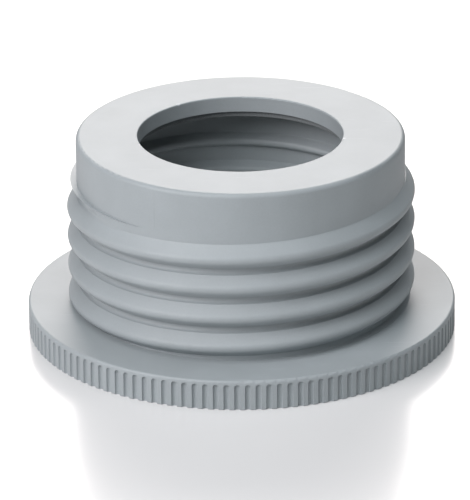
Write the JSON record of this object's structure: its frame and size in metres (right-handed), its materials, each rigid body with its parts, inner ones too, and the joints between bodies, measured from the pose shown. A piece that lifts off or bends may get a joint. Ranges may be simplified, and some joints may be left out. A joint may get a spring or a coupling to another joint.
{
  "type": "threaded drum adapter",
  "caption": "Moulded plastic reducing adapter with a coarse outer thread, a threaded socket, an inward lip around a through hole, a knurled grip flange and a flat seal.",
  "frame": {"origin": "centre of the flange's underside, on the axis", "axes": "+Z along the axis from the flange to the lip; +X is arbitrary, at right angles to +Z, and the outer thread's angles are counted from it"},
  "size_m": [0.084, 0.084, 0.04],
  "materials": {
    "body_plastic": "moulded polypropylene, light cool grey, fine satin skin",
    "seal_foam": "foamed polyethylene washer, soft matte"
  },
  "bodies": {
    "root": {"adapter_body": "body_plastic", "socket_seal": "seal_foam"}
  },
  "joints": []
}
